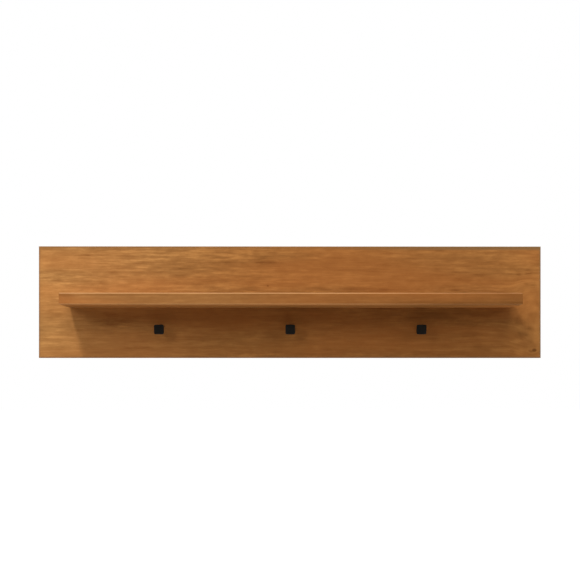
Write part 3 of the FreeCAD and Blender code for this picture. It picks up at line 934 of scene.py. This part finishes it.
# Knob screws: three zinc-plated machine screws, put in from behind through the panel and turned
# into the tapped holes of the knobs. Their heads sit in counterbores too.


def knob_screw_outline():
    """From the flat end up its bevel, the thread and its run-out to the fillet under the head."""
    length, bevel, thread_top, thread_end = 25.0, 0.7, 1.2, 0.6
    core, crest = 1.62, 2.0
    ridge = crest - core
    thread_step = 0.1
    return [
        (0.0, -length, 0.0),
        (1.3, -length, 0.0),
        *stretch(
            thread_step,
            (1.35, -length, 0.0),
            (core, -length + bevel, ridge),
            (core, -thread_top, ridge),
            (core, -thread_end, 0.0),
        ),
        (core, -0.5, 0.0),
        (core + 0.1, -0.2, 0.0),
        (core + 0.4, 0.0, 0.0),
    ]


plated_machine_screw = zinc_material("zinc-plated machine screw", 6.0)
for side, x in (("left", -KNOB_SPACING), ("centre", 0.0), ("right", KNOB_SPACING)):
    screw(
        side + "_knob_screw",
        knob_screw_outline(),
        head=(4.0, 2.6),
        place=(x, COUNTERBORE_SEAT_Y, KNOB_Z),
        material=plated_machine_screw,
        columns=32,
        pitch=0.7,
        ridge_share=1.0,
    )


# Keyhole plates: two round-ended plates pressed from zinc-plated steel, let in to the back of the
# panel. A wall screw's head goes in at the round hole and its shank slides up the slot.
plated_plate = zinc_material("zinc-plated keyhole plate", 14.0)
for side in ("left", "right"):
    finish(side + "_keyhole_plate", plated_plate)


# Plate screws: four small zinc-plated wood screws, two to each keyhole plate. Their heads sit on
# the plates, just below the panel's back.
HANGER_X = 0.300
HANGER_Z = 0.055
PLATE_SCREW_REACH = 0.0195
PLATE_SEAT_Y = -0.0015


def plate_screw_outline():
    """From the tip up the thread and its run-out to the plain neck under the head."""
    length, taper, thread_top, neck_bottom = 12.0, 2.4, 2.9, 2.2
    core, crest = 0.95, 1.48
    ridge, neck = crest - core, core + 0.25
    thread_step = 0.07
    return [
        *stretch(
            thread_step,
            (0.0, -length, 0.0),
            (core, -length + taper, ridge),
            (core, -thread_top, ridge),
            (neck, -neck_bottom, 0.0),
        ),
        (neck, -neck_bottom, 0.0),
        (neck, -0.4, 0.0),
        (core + 0.5, 0.0, 0.0),
    ]


plated_small_screw = zinc_material("zinc-plated plate screw", 17.0)
for side, x in (("left", -HANGER_X), ("right", HANGER_X)):
    for level, reach in (("upper", PLATE_SCREW_REACH), ("lower", -PLATE_SCREW_REACH)):
        screw(
            side + "_" + level + "_plate_screw",
            plate_screw_outline(),
            head=(2.8, 1.2),
            place=(x, PLATE_SEAT_Y, HANGER_Z + reach),
            material=plated_small_screw,
            columns=28,
            pitch=1.3,
            ridge_share=0.55,
        )


# Room: a pale floor well below the shelf, and nothing behind it. The floor fades to white for the
# camera as it goes away, and a camera underneath looks through it to the shelf.
FLOOR_HEIGHT = -1.35
FLOOR_HALF = 30.0
FLOOR_SEEN = (0.62, 0.62, 0.62, 1.0)
FLOOR_BOUNCE = (0.67, 0.62, 0.56, 1.0)
FADE_START, FADE_END = 0.8, 3.0
AMBIENT = 0.05


def floor_material():
    """A pale floor. Its light on the shelf is a little warmer than it looks to the camera."""
    material, tree, shader, point = new_material("pale floor")
    away = length_of(tree, vectors(tree, "MULTIPLY", point, (1.0, 1.0, 0.0)))
    seen = add(tree, "ShaderNodeLightPath").outputs["Is Camera Ray"]
    whiteness = ramp(tree, away, FADE_START, FADE_END, 0.25, 1.0)
    feed(tree, shader.inputs, {
        "Base Color": blend(tree, seen, FLOOR_BOUNCE, FLOOR_SEEN),
        "Roughness": 0.8,
        "Specular IOR Level": 0.1,
        "Emission Color": WHITE,
        "Emission Strength": maths(tree, "MULTIPLY", seen, whiteness),
    })
    underneath = add(tree, "ShaderNodeNewGeometry").outputs["Backfacing"]
    through = add(tree, "ShaderNodeBsdfTransparent").outputs[0]
    feeds = {0: maths(tree, "MULTIPLY", seen, underneath), 1: shader.outputs[0], 2: through}
    surface = add(tree, "ShaderNodeMixShader", feeds).outputs[0]
    tree.links.new(surface, tree.nodes["Material Output"].inputs["Surface"])
    return material


def white_room():
    """White for the camera and in reflections, and next to no light of its own on the shelf."""
    world = bpy.data.worlds.new("white room")
    world.use_nodes = True
    tree = world.node_tree
    path = add(tree, "ShaderNodeLightPath").outputs
    mirrored = maths(tree, "MAXIMUM", path["Is Glossy Ray"], path["Is Transmission Ray"])
    seen = maths(tree, "MAXIMUM", path["Is Camera Ray"], mirrored)
    brightness = ramp(tree, seen, 0.0, 1.0, AMBIENT, 1.0)
    feed(tree, tree.nodes["Background"].inputs, {"Color": WHITE, "Strength": brightness})
    return world


floor_mesh = bpy.data.meshes.new("floor")
signs = ((-1, -1), (1, -1), (1, 1), (-1, 1))
corners = [(x * FLOOR_HALF, y * FLOOR_HALF, FLOOR_HEIGHT) for x, y in signs]
floor_mesh.from_pydata(corners, [], [(0, 1, 2, 3)])
floor_mesh.materials.append(floor_material())
floor = bpy.data.objects.new("floor", floor_mesh)
bpy.context.scene.collection.objects.link(floor)
bpy.context.scene.world = white_room()


# Lamps: a small softbox high up on the left throws the shelf's shadow. Weaker ones to the left, in
# front, to the right and below reach in under the shelf, one hangs overhead, and two stand behind.


def softbox(name, place, width, height, power):
    """A lamp behind a white cloth, in metres and watts, turned to the middle of the shelf."""
    lamp = bpy.data.lights.new(name, "AREA")
    lamp.shape = "RECTANGLE"
    lamp.size, lamp.size_y = width, height
    lamp.energy = power
    box = bpy.data.objects.new(name, lamp)
    bpy.context.scene.collection.objects.link(box)
    turn = (-Vector(place)).to_track_quat("-Z", "Y").to_matrix().to_4x4()
    box.matrix_world = Matrix.Translation(place) @ turn


softbox("high softbox", (-1.15, -3.00, 2.90), 0.40, 0.85, 94.0)
softbox("left softbox", (-1.58, -2.22, 0.89), 0.50, 1.00, 18.0)
softbox("front softbox", (0.20, -2.90, 1.20), 0.80, 0.80, 7.5)
softbox("low softbox", (0.20, -0.15, -1.25), 1.20, 0.50, 1.3)
softbox("right softbox", (2.00, -1.95, 0.85), 1.20, 0.90, 14.5)
softbox("top softbox", (0.30, -1.20, 2.60), 1.40, 1.00, 44.0)
softbox("rear left softbox", (-1.70, 1.95, 2.85), 1.40, 1.40, 66.0)
softbox("rear right softbox", (1.70, 1.95, 2.85), 1.40, 1.40, 66.0)


# Camera: level, two metres in front, a little left of the middle and below it, turned by a hair
# towards the middle and framed by the lens's own shift.
CAMERA_PLACE = (-0.030, -1.993, -0.118)
CAMERA_TURN = math.radians(0.27)
LENS_MM = 68.3
SHIFT_X, SHIFT_Y = 0.0198, 0.1344

lens = bpy.data.cameras.new("camera")
lens.lens = LENS_MM
lens.shift_x, lens.shift_y = SHIFT_X, SHIFT_Y
camera = bpy.data.objects.new("camera", lens)
bpy.context.scene.collection.objects.link(camera)
camera.location = CAMERA_PLACE
camera.rotation_euler = (math.pi / 2, 0.0, -CAMERA_TURN)
bpy.context.scene.camera = camera
bpy.context.scene.view_settings.view_transform = "Standard"
